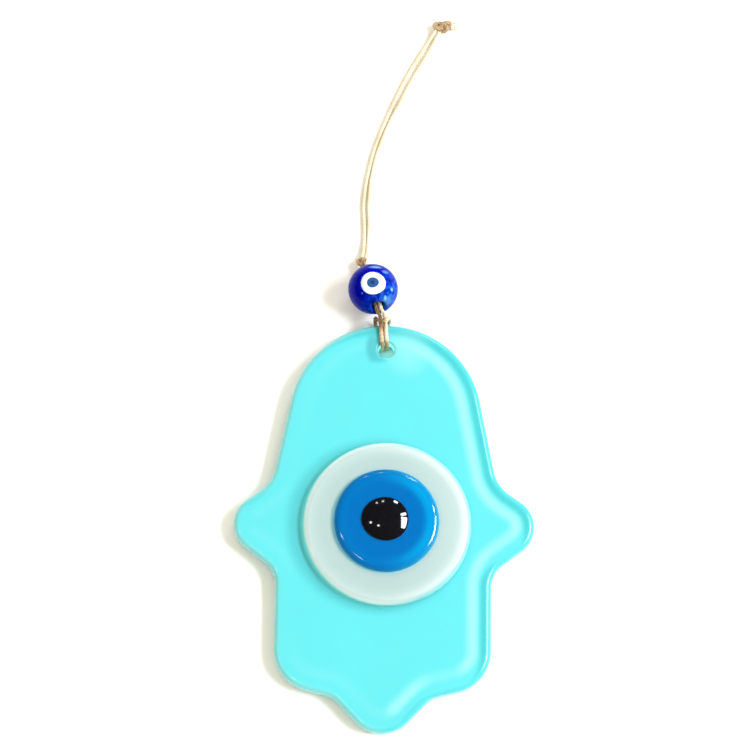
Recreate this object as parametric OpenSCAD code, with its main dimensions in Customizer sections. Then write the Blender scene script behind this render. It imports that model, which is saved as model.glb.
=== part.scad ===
// Evil eye ornament: a fused glass hand-shaped plate with a stacked glass eye, hung by a
// doubled twine that carries a lampwork eye bead. All sizes are in millimetres.
// The ornament lies on its back: +X to the right, +Y towards the hanging loop, +Z up out
// of the front face, and z = 0 is the table. The glass leans a little on the twine that
// passes behind its upper edge, so every glass piece on the plate is tilted by that much.

/* [Glass plate] */
// Distance from the top of the arch to the bottom tip
plate_length = 113.8; // [112:0.1:118]
// Thickness of the fused glass
plate_thickness = 5; // [4:0.1:6]
// Radius of the rounding round the front face
front_rounding = 1.6; // [1:0.1:2.6]
// Radius of the rounding round the back face
back_rounding = 1; // [0.4:0.1:1.2]
// Radius of the arch at the top
arch_radius = 26.8; // [26:0.1:28]
// Slope of the sides below the arch, in degrees off the Y axis
side_lean = 11.5; // [10:0.1:13]
// Diameter of the hole for the twine
hole_diameter = 4.4; // [3.8:0.1:4.5]
// Distance from the hole's centre to the top of the arch
hole_to_edge = 7.5; // [7:0.1:7.6]
// Width of the chamfer round the hole's mouths
hole_chamfer = 0.4; // [0.2:0.1:0.5]

/* [Stacked eye] */
// Diameter of the white disc
white_diameter = 46.2; // [42:0.1:50]
// Thickness of the white disc
white_thickness = 2.5; // [2.2:0.1:3]
// Diameter of the blue disc
blue_diameter = 28.8; // [24:0.1:32]
// Thickness of the blue disc
blue_thickness = 2; // [1.8:0.1:2.5]
// Diameter of the black pupil
pupil_diameter = 12.9; // [10:0.1:15]
// Thickness of the black pupil
pupil_thickness = 1.9; // [1.7:0.1:2.2]

/* [Bead] */
// Outside diameter of the bead
bead_diameter = 14; // [13.8:0.1:14.2]
// Diameter of the hole through the bead
bore_diameter = 3.4; // [3.2:0.1:3.6]
// Diameter of the bore's flared mouths
mouth_diameter = 4.6; // [4.4:0.1:5]
// Diameter of the bead's white ring
ring_diameter = 6.8; // [6:0.1:7.5]
// Diameter of the bead's blue iris
iris_diameter = 3.4; // [3:0.1:4]
// Diameter of the bead's dark dot
dot_diameter = 1.3; // [1:0.1:1.6]

/* [Twine] */
// Diameter of the waxed twine
twine_diameter = 1.1; // [1:0.05:1.15]
// Diameter of the knot above the bead
upper_knot_diameter = 3.4; // [3:0.1:3.6]
// Diameter of the knot that closes the hanging loop
end_knot_diameter = 3.6; // [3.4:0.1:3.8]
// Length of that knot, along the way that the twine's ends leave it
end_knot_length = 5.8; // [5.4:0.1:6]

/* [Hidden] */

$fn = 96;
half_length = plate_length / 2;
hole_y = half_length - hole_to_edge;
twine_radius = twine_diameter / 2;

// The plate leans on its lower back edge and on the twine behind the hole.
twine_gap = 0.1;
lean_line_y = -half_length + back_rounding;
lean_angle = asin((twine_diameter + twine_gap) / (hole_y - lean_line_y));

// Corners of the plate's right half before rounding: [x, y, radius, points on the arc].
thumb_notch = [31.1, 11.5, 10, 6];
thumb_tip = [47.2, 0.3, 8.3, 12];
waist = [29.6, -13, 8, 6];
palm_corner = [29.6, -43.3, 11.6, 10];
finger_root = [13.4, -47.4, 7, 4];
arch_apex_y = half_length - arch_radius + arch_radius / sin(side_lean);
arch_apex = [0, arch_apex_y, arch_radius, 28];
fingertip = [0, -half_length - 4.5, 10, 12];
right_side = [thumb_notch, thumb_tip, waist, palm_corner, finger_root];
left_side = [for (i = [len(right_side) - 1:-1:0])
    [-right_side[i][0], right_side[i][1], right_side[i][2], right_side[i][3]]];
outline = concat([arch_apex], right_side, [fingertip], left_side);

// Where the discs sit on the plate, seen from the front.
white_centre = [0.8, 0];
blue_centre = [0.7, 0.6];
pupil_centre = [0.3, 0.8];

// The bead rests on the table and its bore rises towards the plate.
bead_radius = bead_diameter / 2;
bead_centre = [-3.9, hole_y + 17.3, bead_radius];
bore_yaw = 15;
bore_rise = 24;
bore_axis = [sin(bore_yaw) * cos(bore_rise), -cos(bore_yaw) * cos(bore_rise), sin(bore_rise)];
bore_side = [cos(bore_yaw), sin(bore_yaw), 0];
bore_down = cross(bore_side, bore_axis);
// The eye's direction is square to the bore except for this lean.
eye_lean = 24.5;
ring_depth = 0.9;
iris_depth = 0.6;
dot_depth = 0.3;

// The two strands lie this far to each side of their common line.
strand_offset = 0.62;
// The middle of the strands' lower ends, where they come out from under the hitch's bight,
// and the middle of their bend on the way up to the bead.
strand_start = [-1.3, hole_y + 9.65, 7.8];
strand_bend = [-1.65, hole_y + 10, 8.55];
// The way from one strand to the other, as an angle off the X axis, at those two places and
// over the lip of the bead's lower mouth.
start_yaw = 25;
bend_yaw = 30;
lip_yaw = 25;
// How far the strands run below the bore's axis: over the lip, in the mouth and inside.
lip_drop = 1.1;
mouth_drop = 0.6;
inside_drop = 0.1;
// How far from the bead's centre, along the bore, the strands enter its flares and its bore.
flare_reach = bead_radius - 0.6;
bore_reach = 3;
upper_knot_radius = upper_knot_diameter / 2;
upper_knot_centre = [-7.2, hole_y + 26.4, 2.3];
end_knot_radius = end_knot_diameter / 2;
end_knot_centre = [15.1, hole_y + 98.1, end_knot_radius];
end_knot_turn = 10;
joint_gap = 0.15;

// One half of the hitch: from the end of a leg in front, into the hole, up behind the plate
// and over its edge to the middle of the bight, which crosses over both legs.
// Y is counted from the hole's centre.
hitch_half = [
    [0.62, 8.35, 6.98], [0.64, 7.4, 6.9], [0.66, 6, 6.87], [0.66, 4.2, 6.87], [0.64, 2.2, 6.85],
    [0.62, 1.45, 6.3], [0.6, 1.22, 5], [0.6, 1.22, 2.2], [0.66, 1.5, 1], [0.85, 2.4, 0.56],
    [1.2, 4, 0.56], [1.6, 6.5, 0.56], [1.85, 8.1, 0.7], [2, 9, 1.35], [2.05, 9.35, 2.5],
    [2, 9.4, 4], [1.95, 9.25, 5.6], [1.85, 8.95, 7], [1.35, 8.4, 7.9], [0.65, 8.02, 8.2]
];
bight_middle = [0, 7.9, 8.25];
hitch_shift = -0.35;
// How far the hitch has swung round the hole, in degrees.
hitch_turn = 5;

// Centre line of the two loop strands. Y is counted from the hole's centre.
loop_route = [
    [-6.75, 27.6, 2.1], [-6.32, 30, 1.2], [-6.06, 34, 0.62], [-6.1, 39, 0.6], [-6.32, 44, 0.6],
    [-5.85, 50, 0.6], [-5.09, 54.5, 0.6], [-4.12, 59, 0.6], [-2.56, 64, 0.6], [-0.16, 70, 0.6],
    [2.52, 76, 0.6], [5.32, 82, 0.6], [8.6, 88, 0.6], [11.32, 92.8, 0.6], [13.7, 97, 1.6]
];
// Half the distance between the strands at each point of that line.
loop_spread = [0.58, 0.58, 0.59, 0.7, 0.76, 0.68, 0.58, 0.57, 0.57, 0.66, 0.84, 0.87, 0.86, 0.8, 0.62];

tail_left = [
    [17.1, 99.25, 1.7], [18.4, 99.9, 1], [20.2, 100.5, 0.6], [22.6, 101.2, 0.6]
];
tail_right = [
    [17.4, 98, 1.6], [18.7, 98.2, 0.9], [20.6, 98.3, 0.6], [22.4, 98.4, 0.6]
];

tube_sides = 8;
// The rings of a rounded end, as angles round from the tube's side towards its tip.
nose_angles = [60, 30];
// Any direction that no tube starts along: each tube's first flat is set out from it.
up_hint = [0.3, 0.2, 1];

// ---- Outline of the plate ----

function unit(v) = v / norm(v);
function turn_left(v) = [-v[1], v[0]];

// Points of one rounded corner, with the whole outline moved inwards by inset.
function corner_arc(i, inset) =
    let (
        n = len(outline),
        corner = [outline[i][0], outline[i][1]],
        before = [outline[(i + n - 1) % n][0], outline[(i + n - 1) % n][1]],
        after = [outline[(i + 1) % n][0], outline[(i + 1) % n][1]],
        radius = outline[i][2],
        to_before = unit(before - corner),
        to_after = unit(after - corner),
        bisector = unit(to_before + to_after),
        half_angle = acos(to_before * to_after) / 2,
        centre = corner + bisector * radius / sin(half_angle),
        bulges = cross(-to_before, to_after) < 0,
        kept_radius = bulges ? radius - inset : radius + inset,
        start = -bisector,
        sweep = (180 - 2 * half_angle) * (bulges ? -1 : 1),
        steps = outline[i][3]
    )
    [for (k = [0:steps])
        let (a = sweep * (k / steps - 0.5))
        centre + kept_radius * (start * cos(a) + turn_left(start) * sin(a))];

function plate_ring(inset) = [for (i = [0:len(outline) - 1]) each corner_arc(i, inset)];

// The rounded edge as [inset, height] pairs, from the back face to the front face.
back_steps = 3;
front_steps = 6;
edge_profile = concat(
    [for (k = [0:back_steps])
        let (a = 90 * k / back_steps)
        [back_rounding * (1 - sin(a)), back_rounding * (1 - cos(a))]],
    [for (k = [0:front_steps])
        let (a = 90 * k / front_steps)
        [front_rounding * (1 - cos(a)), plate_thickness - front_rounding * (1 - sin(a))]]
);

// ---- Tubes ----

function spline_point(p0, p1, p2, p3, t) =
    0.5 * (2 * p1 + (p2 - p0) * t + (2 * p0 - 5 * p1 + 4 * p2 - p3) * t * t
        + (3 * p1 - p0 - 3 * p2 + p3) * t * t * t);

// A smooth line through the route's points, with steps pieces between neighbours.
function smooth_line(route, steps) =
    let (last = len(route) - 1)
    concat(
        [for (i = [0:last - 1], k = [0:steps - 1])
            spline_point(
                route[max(i - 1, 0)], route[i], route[i + 1], route[min(i + 2, last)], k / steps
            )],
        [route[last]]
    );

function tangent(line, i) = unit(line[min(i + 1, len(line) - 1)] - line[max(i - 1, 0)]);
function square_to(v, t) = unit(v - (v * t) * t);
function carried_normals(line, i, normal) =
    i == len(line) ? []
    : let (n = square_to(normal, tangent(line, i))) concat([n], carried_normals(line, i + 1, n));

// A tube of tube_sides flats along a line. Its ends are rounded noses where asked for.
module tube(line, radius, nose_start = false, nose_end = false) {
    last = len(line) - 1;
    normals = carried_normals(line, 0, square_to(up_hint, tangent(line, 0)));
    start_rings = nose_start
        ? [for (a = nose_angles)
            [line[0] - tangent(line, 0) * radius * sin(a), 0, radius * cos(a)]]
        : [];
    end_rings = nose_end
        ? [for (a = backwards(nose_angles))
            [line[last] + tangent(line, last) * radius * sin(a), last, radius * cos(a)]]
        : [];
    rings = concat(start_rings, [for (i = [0:last]) [line[i], i, radius]], end_rings);
    points = [for (ring = rings, s = [0:tube_sides - 1])
        let (
            a = 360 * (s + 0.5) / tube_sides,
            normal = normals[ring[1]],
            side = cross(tangent(line, ring[1]), normal)
        )
        ring[0] + ring[2] * (normal * cos(a) + side * sin(a))];
    ring_count = len(rings);
    faces = concat(
        [[for (s = [0:tube_sides - 1]) s]],
        [for (r = [0:ring_count - 2], s = [0:tube_sides - 1])
            let (next = (s + 1) % tube_sides)
            each [
                [r * tube_sides + s, (r + 1) * tube_sides + s, (r + 1) * tube_sides + next],
                [r * tube_sides + s, (r + 1) * tube_sides + next, r * tube_sides + next]
            ]],
        [[for (s = [tube_sides - 1:-1:0]) (ring_count - 1) * tube_sides + s]]
    );
    polyhedron(points, faces);
}

function from_hole(route) = [for (p = route) p + [0, hole_y, 0]];
function mirrored_x(route) = [for (p = route) [-p[0], p[1], p[2]]];
function backwards(route) = [for (i = [len(route) - 1:-1:0]) route[i]];
function shifted(route, x) = [for (p = route) p + [x, 0, 0]];

// ---- Glass ----

module leaning() {
    translate([0, lean_line_y, 0])
        rotate([lean_angle, 0, 0])
            translate([0, -lean_line_y, 0])
                children();
}

// Faces that close a ring of points, from its topmost point down, in strips across the plate.
// top is the index of the topmost point, and opposite points are mirror images of each other.
function strips_across(top, count, first) =
    let (half = count / 2)
    [for (j = [0:half - 1])
        let (
            right = top + j,
            left = (top - j + count) % count,
            left_next = (top - j - 1 + count) % count
        )
        j == 0 ? [first + top, first + top + 1, first + left_next]
        : j == half - 1 ? [first + right, first + right + 1, first + left]
        : [first + right, first + right + 1, first + left_next, first + left]];

module plate_blank() {
    rings = [for (p = edge_profile) [for (q = plate_ring(p[0])) [q[0], q[1], p[1]]]];
    count = len(rings[0]);
    levels = len(rings);
    top = arch_apex[3] / 2;
    walls = [for (r = [0:levels - 2], k = [0:count - 1])
        let (next = (k + 1) % count)
        [r * count + k, (r + 1) * count + k, (r + 1) * count + next, r * count + next]];
    back = strips_across(top, count, 0);
    front = [for (f = strips_across(top, count, (levels - 1) * count)) backwards(f)];
    polyhedron([for (ring = rings) each ring], concat(back, walls, front));
}

module hole_cutter() {
    past = 1;
    radius = hole_diameter / 2;
    wide = radius + hole_chamfer + past;
    translate([0, hole_y, 0])
        rotate_extrude()
            polygon([
                [0, -past], [wide, -past], [radius, hole_chamfer],
                [radius, plate_thickness - hole_chamfer], [wide, plate_thickness + past],
                [0, plate_thickness + past]
            ]);
}

module hamsa_plate() {
    color([0.49, 0.96, 0.99])
        leaning()
            difference() {
                plate_blank();
                hole_cutter();
            }
}

// A disc with a flat back and a rounded front rim.
module rimmed_disc(diameter, thickness, rounding) {
    radius = diameter / 2;
    rotate_extrude()
        union() {
            square([radius - rounding, thickness]);
            square([radius, thickness - rounding]);
            translate([radius - rounding, thickness - rounding])
                intersection() {
                    circle(rounding);
                    square(rounding);
                }
        }
}

module on_plate(centre, height) {
    leaning()
        translate([centre[0], centre[1], plate_thickness + height])
            children();
}

module white_disc() {
    rounding = 1.7;
    color([0.86, 0.94, 0.92])
        on_plate(white_centre, 0)
            rimmed_disc(white_diameter, white_thickness, rounding);
}

module blue_disc() {
    rounding = 1.5;
    color([0, 0.5, 0.84])
        on_plate(blue_centre, white_thickness)
            rimmed_disc(blue_diameter, blue_thickness, rounding);
}

module pupil() {
    rounding = 1.6;
    color([0.08, 0.07, 0.09])
        on_plate(pupil_centre, white_thickness + blue_thickness)
            rimmed_disc(pupil_diameter, pupil_thickness, rounding);
}

// ---- Bead ----

// Z runs along the bore towards the plate.
module bead_frame() {
    translate(bead_centre)
        rotate([0, 0, bore_yaw])
            rotate([90 - bore_rise, 0, 0])
                children();
}

// Z runs out through the middle of the bead's eye.
module eye_frame() {
    rotate([eye_lean - 90, 0, 0])
        children();
}

module eye_core(diameter, depth) {
    eye_frame()
        translate([0, 0, bead_radius - depth - eye_sink(diameter)])
            cylinder(h = bead_radius, d = diameter);
}

// How far the ball falls away from its pole at the edge of a circle round that pole.
function eye_sink(diameter) = bead_radius - sqrt(pow(bead_radius, 2) - pow(diameter / 2, 2));

module bead_ball() {
    sphere(r = bead_radius);
}

module bore_cutter() {
    bore_radius = bore_diameter / 2;
    mouth_radius = mouth_diameter / 2;
    mouth_height = sqrt(pow(bead_radius, 2) - pow(mouth_radius, 2));
    flare = 1.3;
    past = 1;
    slope = (mouth_radius - bore_radius) / flare;
    half = [
        [bore_radius, mouth_height - flare],
        [mouth_radius + slope * past, mouth_height + past],
        [0, mouth_height + past]
    ];
    rotate_extrude()
        polygon(concat([for (p = half) p], [for (i = [2:-1:0]) [half[i][0], -half[i][1]]]));
}

module bead_body() {
    color([0, 0.1, 0.75])
        bead_frame()
            difference() {
                bead_ball();
                bore_cutter();
                eye_core(ring_diameter, ring_depth);
            }
}

module bead_eye_white() {
    color("white")
        bead_frame()
            difference() {
                intersection() {
                    bead_ball();
                    eye_core(ring_diameter, ring_depth);
                }
                eye_core(iris_diameter, iris_depth);
            }
}

module bead_eye_blue() {
    color([0.24, 0.39, 0.63])
        bead_frame()
            difference() {
                intersection() {
                    bead_ball();
                    eye_core(iris_diameter, iris_depth);
                }
                eye_core(dot_diameter, dot_depth);
            }
}

module bead_eye_dot() {
    color([0.03, 0.05, 0.25])
        bead_frame()
            intersection() {
                bead_ball();
                eye_core(dot_diameter, dot_depth);
            }
}

// ---- Twine ----

module twine_colour() {
    color([0.86, 0.77, 0.55])
        children();
}

module larks_head_hitch() {
    right = hitch_half;
    left = backwards(mirrored_x(hitch_half));
    route = shifted(concat(right, [bight_middle], left), hitch_shift);
    twine_colour()
        translate([0, hole_y, 0])
            rotate([0, 0, hitch_turn])
                tube(smooth_line(route, 2), twine_radius, nose_start = true, nose_end = true);
}

// One strand through the bead: side is -1 for the left strand and 1 for the right one.
module bead_twine(side) {
    shift = side * strand_offset;
    level_shift = [for (yaw = [start_yaw, bend_yaw, lip_yaw]) shift * [cos(yaw), sin(yaw), 0]];
    over_lip = bead_centre + bore_axis * bead_radius + bore_down * lip_drop;
    in_mouth = bead_centre + bore_axis * flare_reach + bore_down * mouth_drop;
    inside = bead_centre + bore_axis * bore_reach + bore_down * inside_drop;
    deep_inside = bead_centre - bore_axis * bore_reach;
    high_mouth = bead_centre - bore_axis * flare_reach;
    from_knot = unit(high_mouth - upper_knot_centre);
    knot_end = upper_knot_centre + from_knot * (upper_knot_radius + joint_gap + twine_radius);
    before_bead = [strand_start, strand_bend, over_lip] + level_shift;
    through_bead = [
        for (p = [in_mouth, inside, deep_inside, high_mouth, knot_end]) p + shift * bore_side
    ];
    route = concat(before_bead, through_bead);
    twine_colour()
        tube(smooth_line(route, 3), twine_radius, nose_start = true, nose_end = true);
}

module bead_twine_left() {
    bead_twine(-1);
}

module bead_twine_right() {
    bead_twine(1);
}

module upper_knot() {
    twine_colour()
        translate(upper_knot_centre)
            sphere(r = upper_knot_radius);
}

// A point beside the loop's centre line, across it and level with the table.
function beside(route, i, side) =
    let (along = tangent(route, i))
    route[i] + side * loop_spread[i] * unit([along[1], -along[0], 0]);

module loop_strand(side) {
    centre_line = from_hole(loop_route);
    route = [for (i = [0:len(centre_line) - 1]) beside(centre_line, i, side)];
    twine_colour()
        tube(smooth_line(route, 2), twine_radius);
}

module loop_strand_left() {
    loop_strand(-1);
}

module loop_strand_right() {
    loop_strand(1);
}

module end_knot() {
    reach = end_knot_length / 2 - end_knot_radius;
    twine_colour()
        translate(end_knot_centre)
            rotate([0, 0, end_knot_turn])
                rotate([0, 90, 0])
                    union() {
                        translate([0, 0, -reach])
                            cylinder(h = 2 * reach, r = end_knot_radius);
                        for (end = [-reach, reach])
                            translate([0, 0, end])
                                sphere(r = end_knot_radius);
                    }
}

module twine_tail_left() {
    twine_colour()
        tube(smooth_line(from_hole(tail_left), 2), twine_radius);
}

module twine_tail_right() {
    twine_colour()
        tube(smooth_line(from_hole(tail_right), 2), twine_radius);
}

hamsa_plate();
white_disc();
blue_disc();
pupil();
larks_head_hitch();
bead_twine_left();
bead_twine_right();
bead_body();
bead_eye_white();
bead_eye_blue();
bead_eye_dot();
upper_knot();
loop_strand_left();
loop_strand_right();
end_knot();
twine_tail_left();
twine_tail_right();
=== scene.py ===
"""Looks of the evil eye ornament: fused glass, a lampwork bead and waxed twine."""
import math
import random

import bpy
from mathutils import Matrix, Vector


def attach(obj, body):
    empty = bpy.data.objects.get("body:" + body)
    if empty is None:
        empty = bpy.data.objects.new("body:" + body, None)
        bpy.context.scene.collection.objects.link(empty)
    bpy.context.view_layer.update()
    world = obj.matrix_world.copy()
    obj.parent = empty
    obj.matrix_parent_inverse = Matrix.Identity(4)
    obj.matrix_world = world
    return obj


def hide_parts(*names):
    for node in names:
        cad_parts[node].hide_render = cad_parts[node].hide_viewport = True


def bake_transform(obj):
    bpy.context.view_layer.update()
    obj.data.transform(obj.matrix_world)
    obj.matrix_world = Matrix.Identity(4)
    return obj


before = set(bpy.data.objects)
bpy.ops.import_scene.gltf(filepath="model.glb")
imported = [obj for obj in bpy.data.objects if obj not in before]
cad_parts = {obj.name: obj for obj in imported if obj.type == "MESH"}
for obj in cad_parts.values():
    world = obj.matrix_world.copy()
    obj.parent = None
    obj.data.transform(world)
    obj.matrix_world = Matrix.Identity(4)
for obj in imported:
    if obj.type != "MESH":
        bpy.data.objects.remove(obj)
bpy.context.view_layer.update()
MM = 0.001
random.seed(7)

# ---- Sizes that the frame and this script share, in millimetres ----

PLATE_LENGTH = 113.8
PLATE_THICKNESS = 5.0
HOLE_RADIUS = 2.2
HOLE_TO_EDGE = 7.5
HOLE_ROUNDING = 0.75
HALF_LENGTH = PLATE_LENGTH / 2
HOLE_Y = HALF_LENGTH - HOLE_TO_EDGE
BACK_ROUNDING = 1.0
TWINE_RADIUS = 0.55
TWINE_GAP = 0.1
LEAN_LINE_Y = -HALF_LENGTH + BACK_ROUNDING
LEAN = math.asin((2 * TWINE_RADIUS + TWINE_GAP) / (HOLE_Y - LEAN_LINE_Y))

WHITE_CENTRE = (0.8, 0.0)
BLUE_CENTRE = (0.7, 0.6)
PUPIL_CENTRE = (0.3, 0.8)
WHITE_RADIUS, WHITE_THICKNESS = 23.1, 2.5
BLUE_RADIUS, BLUE_THICKNESS = 14.4, 2.0
PUPIL_RADIUS, PUPIL_THICKNESS = 6.45, 1.9

BEAD_RADIUS = 7.0
BEAD_CENTRE = Vector((-3.9, HOLE_Y + 17.3, BEAD_RADIUS))
BORE_YAW = math.radians(15)
BORE_RISE = math.radians(24)
BORE_RADIUS = 1.7
EYE_LEAN = math.radians(24.5)
STRAND_OFFSET = 0.62
UPPER_KNOT = Vector((-7.2, HOLE_Y + 26.4, 2.3))
END_KNOT = Vector((15.1, HOLE_Y + 98.1, 1.8))
END_KNOT_TURN = math.radians(10)
END_KNOT_SHIFT = Vector((0, 0.2, 0))
END_KNOT_STRETCH = (2.05, 1.2, 1.0)
UPPER_KNOT_TURN = 0.4
KNOT_SIZE = 0.42


# ---- Camera: straight down, tipped towards the fingertip ----

IMAGE_WIDTH = 750
MM_PER_PIXEL = 0.281


def add_camera():
    tilt = math.radians(14)
    roll = math.radians(0.8)
    distance = 0.7
    sensor = 36.0
    field_width = MM_PER_PIXEL * IMAGE_WIDTH * MM
    target = Vector((-3.06, 43.6, 0)) * MM
    right = Vector((math.cos(roll), math.sin(roll), 0))
    level_up = Vector((-math.sin(roll), math.cos(roll), 0))
    back = -level_up * math.sin(tilt) + Vector((0, 0, 1)) * math.cos(tilt)
    up = back.cross(right)
    data = bpy.data.cameras.new("camera")
    data.sensor_width = sensor
    data.lens = sensor * distance / field_width
    data.clip_start = 0.01
    camera = bpy.data.objects.new("camera", data)
    bpy.context.scene.collection.objects.link(camera)
    place = Matrix((right, up, back)).transposed().to_4x4()
    place.translation = target + back * distance
    camera.matrix_world = place
    bpy.context.scene.camera = camera


# ---- Mesh helpers ----

def new_object(name, verts, faces, material, smooth=True):
    """An object whose vertices are given in millimetres."""
    mesh = bpy.data.meshes.new(name)
    mesh.from_pydata([tuple(Vector(v) * MM) for v in verts], [], faces)
    mesh.validate()
    obj = bpy.data.objects.new(name, mesh)
    bpy.context.scene.collection.objects.link(obj)
    mesh.materials.append(material)
    if smooth:
        mesh.polygons.foreach_set("use_smooth", [True] * len(mesh.polygons))
    return obj


def apply_modifiers(obj):
    bpy.context.view_layer.update()
    graph = bpy.context.evaluated_depsgraph_get()
    mesh = bpy.data.meshes.new_from_object(obj.evaluated_get(graph))
    obj.modifiers.clear()
    obj.data = mesh


def smooth_line(route, steps):
    """Points of a Catmull-Rom curve through the route."""
    route = [Vector(p) for p in route]
    last = len(route) - 1
    line = []
    for i in range(last):
        p0, p1 = route[max(i - 1, 0)], route[i]
        p2, p3 = route[i + 1], route[min(i + 2, last)]
        for k in range(steps):
            t = k / steps
            line.append(0.5 * (2 * p1 + (p2 - p0) * t + (2 * p0 - 5 * p1 + 4 * p2 - p3) * t * t
                               + (3 * p1 - p0 - 3 * p2 + p3) * t ** 3))
    line.append(route[last])
    return line


def even_line(line, spacing):
    """The same line with its points evenly spaced."""
    lengths = [0.0]
    for a, b in zip(line, line[1:]):
        lengths.append(lengths[-1] + (b - a).length)
    count = max(2, round(lengths[-1] / spacing))
    points, i = [], 0
    for k in range(count + 1):
        want = lengths[-1] * k / count
        while i < len(line) - 2 and lengths[i + 1] < want:
            i += 1
        span = lengths[i + 1] - lengths[i]
        t = (want - lengths[i]) / span if span > 0 else 0
        points.append(line[i].lerp(line[i + 1], min(max(t, 0), 1)))
    return points


def line_length(line):
    return sum((b - a).length for a, b in zip(line, line[1:]))


def carried_frames(line):
    """Tangent, normal and side at each point, turned as little as possible along the line."""
    frames = []
    normal = Vector((0.3, 0.2, 1))
    for i in range(len(line)):
        tangent = (line[min(i + 1, len(line) - 1)] - line[max(i - 1, 0)]).normalized()
        normal = (normal - tangent * normal.dot(tangent)).normalized()
        frames.append((tangent, normal, tangent.cross(normal)))
    return frames


def set_attribute(mesh, name, values):
    mesh.attributes.new(name, "FLOAT", "POINT").data.foreach_set("value", values)


def smooth_step(low, high, value):
    t = min(max((value - low) / (high - low), 0), 1)
    return t * t * (3 - 2 * t)


def once_each(corners):
    """A face without the corners that repeat."""
    return tuple(dict.fromkeys(corners))


def lathe(name, profile, segments, material, lobes=(), closed_ends=False):
    """A solid of revolution round Z. profile runs from the bottom centre to the top centre.

    lobes puts it out of round: a share of the radius, the number of lobes and their turn.
    """
    verts, rings = [], []
    for radius, z in profile:
        if radius < 1e-6:
            rings.append([len(verts)])
            verts.append(Vector((0, 0, z)))
            continue
        rings.append(list(range(len(verts), len(verts) + segments)))
        for s in range(segments):
            a = 2 * math.pi * s / segments
            r = radius * (1 + sum(share * math.cos(n * a + turn) for share, n, turn in lobes))
            verts.append(Vector((r * math.cos(a), r * math.sin(a), z)))
    faces = []
    for low, high in zip(rings, rings[1:]):
        for s in range(segments):
            t = (s + 1) % segments
            faces.append(once_each(
                (low[s % len(low)], low[t % len(low)], high[t % len(high)], high[s % len(high)])
            ))
    if closed_ends:
        faces.append(tuple(reversed(rings[0])))
        faces.append(tuple(rings[-1]))
    return new_object(name, verts, faces, material)


def add_tube(verts, faces, line, radius, sides, taper=0.0):
    """Adds a closed tube to verts and faces, and returns the index of its first vertex."""
    first, last = len(verts), len(line) - 1
    for i, (point, (_, normal, side)) in enumerate(zip(line, carried_frames(line))):
        r = radius * (1 - taper * i / last)
        for s in range(sides):
            a = 2 * math.pi * s / sides
            verts.append(point + r * (normal * math.cos(a) + side * math.sin(a)))
    for i in range(last):
        low, high = first + i * sides, first + (i + 1) * sides
        for s in range(sides):
            t = (s + 1) % sides
            faces.append((low + s, low + t, high + t, high + s))
    faces.append(tuple(first + s for s in reversed(range(sides))))
    faces.append(tuple(first + last * sides + s for s in range(sides)))
    return first


# ---- Materials ----

COLUMN_HEIGHT = 50  # millimetres, far more than the glass is thick


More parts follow.
